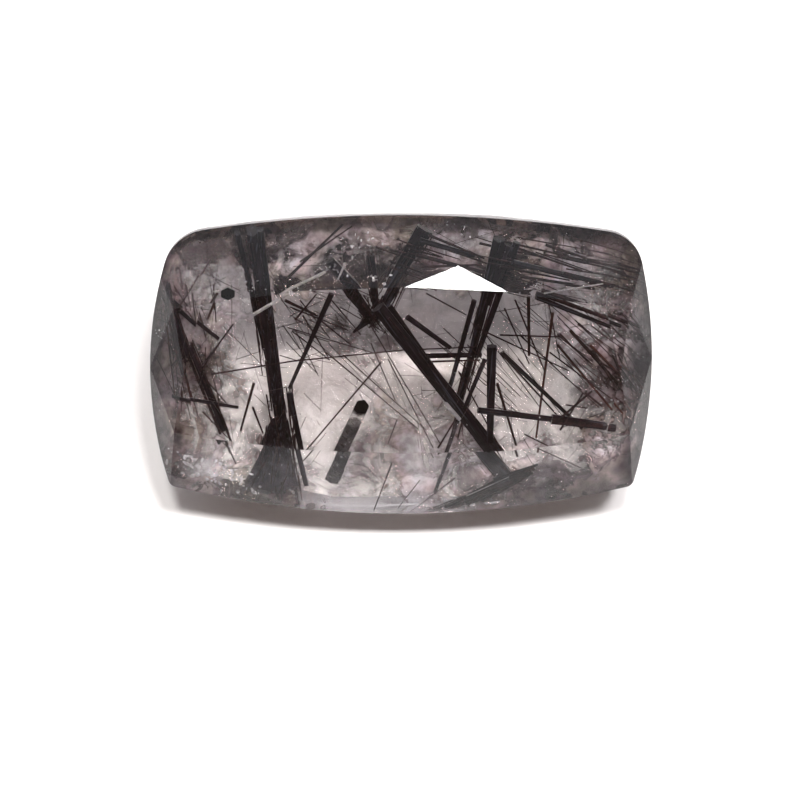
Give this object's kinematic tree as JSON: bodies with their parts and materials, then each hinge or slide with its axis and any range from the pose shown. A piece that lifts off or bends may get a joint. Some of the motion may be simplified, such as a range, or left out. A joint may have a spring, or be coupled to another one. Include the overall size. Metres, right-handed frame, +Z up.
{
  "type": "faceted rutilated quartz gemstone",
  "caption": "Loose cushion-cut clear quartz with black needle crystals sealed inside, lying on a pavilion facet.",
  "frame": {"origin": "under the middle of the stone's bounding box, on the surface it rests on", "axes": "+X along the stone's length, +Z up from the surface it rests on, and the table leans towards -Y"},
  "size_m": [0.02, 0.0108, 0.0079],
  "materials": {
    "quartz": "polished",
    "needle_black": "glossy",
    "needle_brown": "glossy"
  },
  "bodies": {
    "root": {"needle_back_cluster": "needle_black", "needle_back_first": "needle_black", "needle_back_second": "needle_black", "needle_back_third": "needle_black", "needle_big_diagonal": "needle_black", "needle_front_diagonal": "needle_black", "needle_front_grey": "needle_black", "needle_front_leg_right": "needle_black", "needle_left_level": "needle_black", "needle_left_rod": "needle_black", "needle_left_slant": "needle_black", "needle_left_stub": "needle_black", "needle_level_right": "needle_black", "needle_long_slant": "needle_black", "needle_middle_deep": "needle_black", "needle_middle_short": "needle_black", "needle_pillar": "needle_black", "needle_right_bundle": "needle_black", "needle_right_short": "needle_black", "needle_right_slant": "needle_black", "needle_right_slim": "needle_black", "needle_table_rod": "needle_black", "needle_upright": "needle_black", "quartz_crown_half": "quartz", "quartz_pavilion_half": "quartz", "slim_end_first": "needle_brown", "slim_end_second": "needle_brown", "slim_end_third": "needle_brown", "slim_left_long": "needle_brown", "slim_left_low": "needle_brown", "slim_left_short": "needle_brown", "slim_right_back": "needle_brown", "slim_right_front": "needle_brown", "slim_right_long": "needle_brown"}
  },
  "joints": []
}
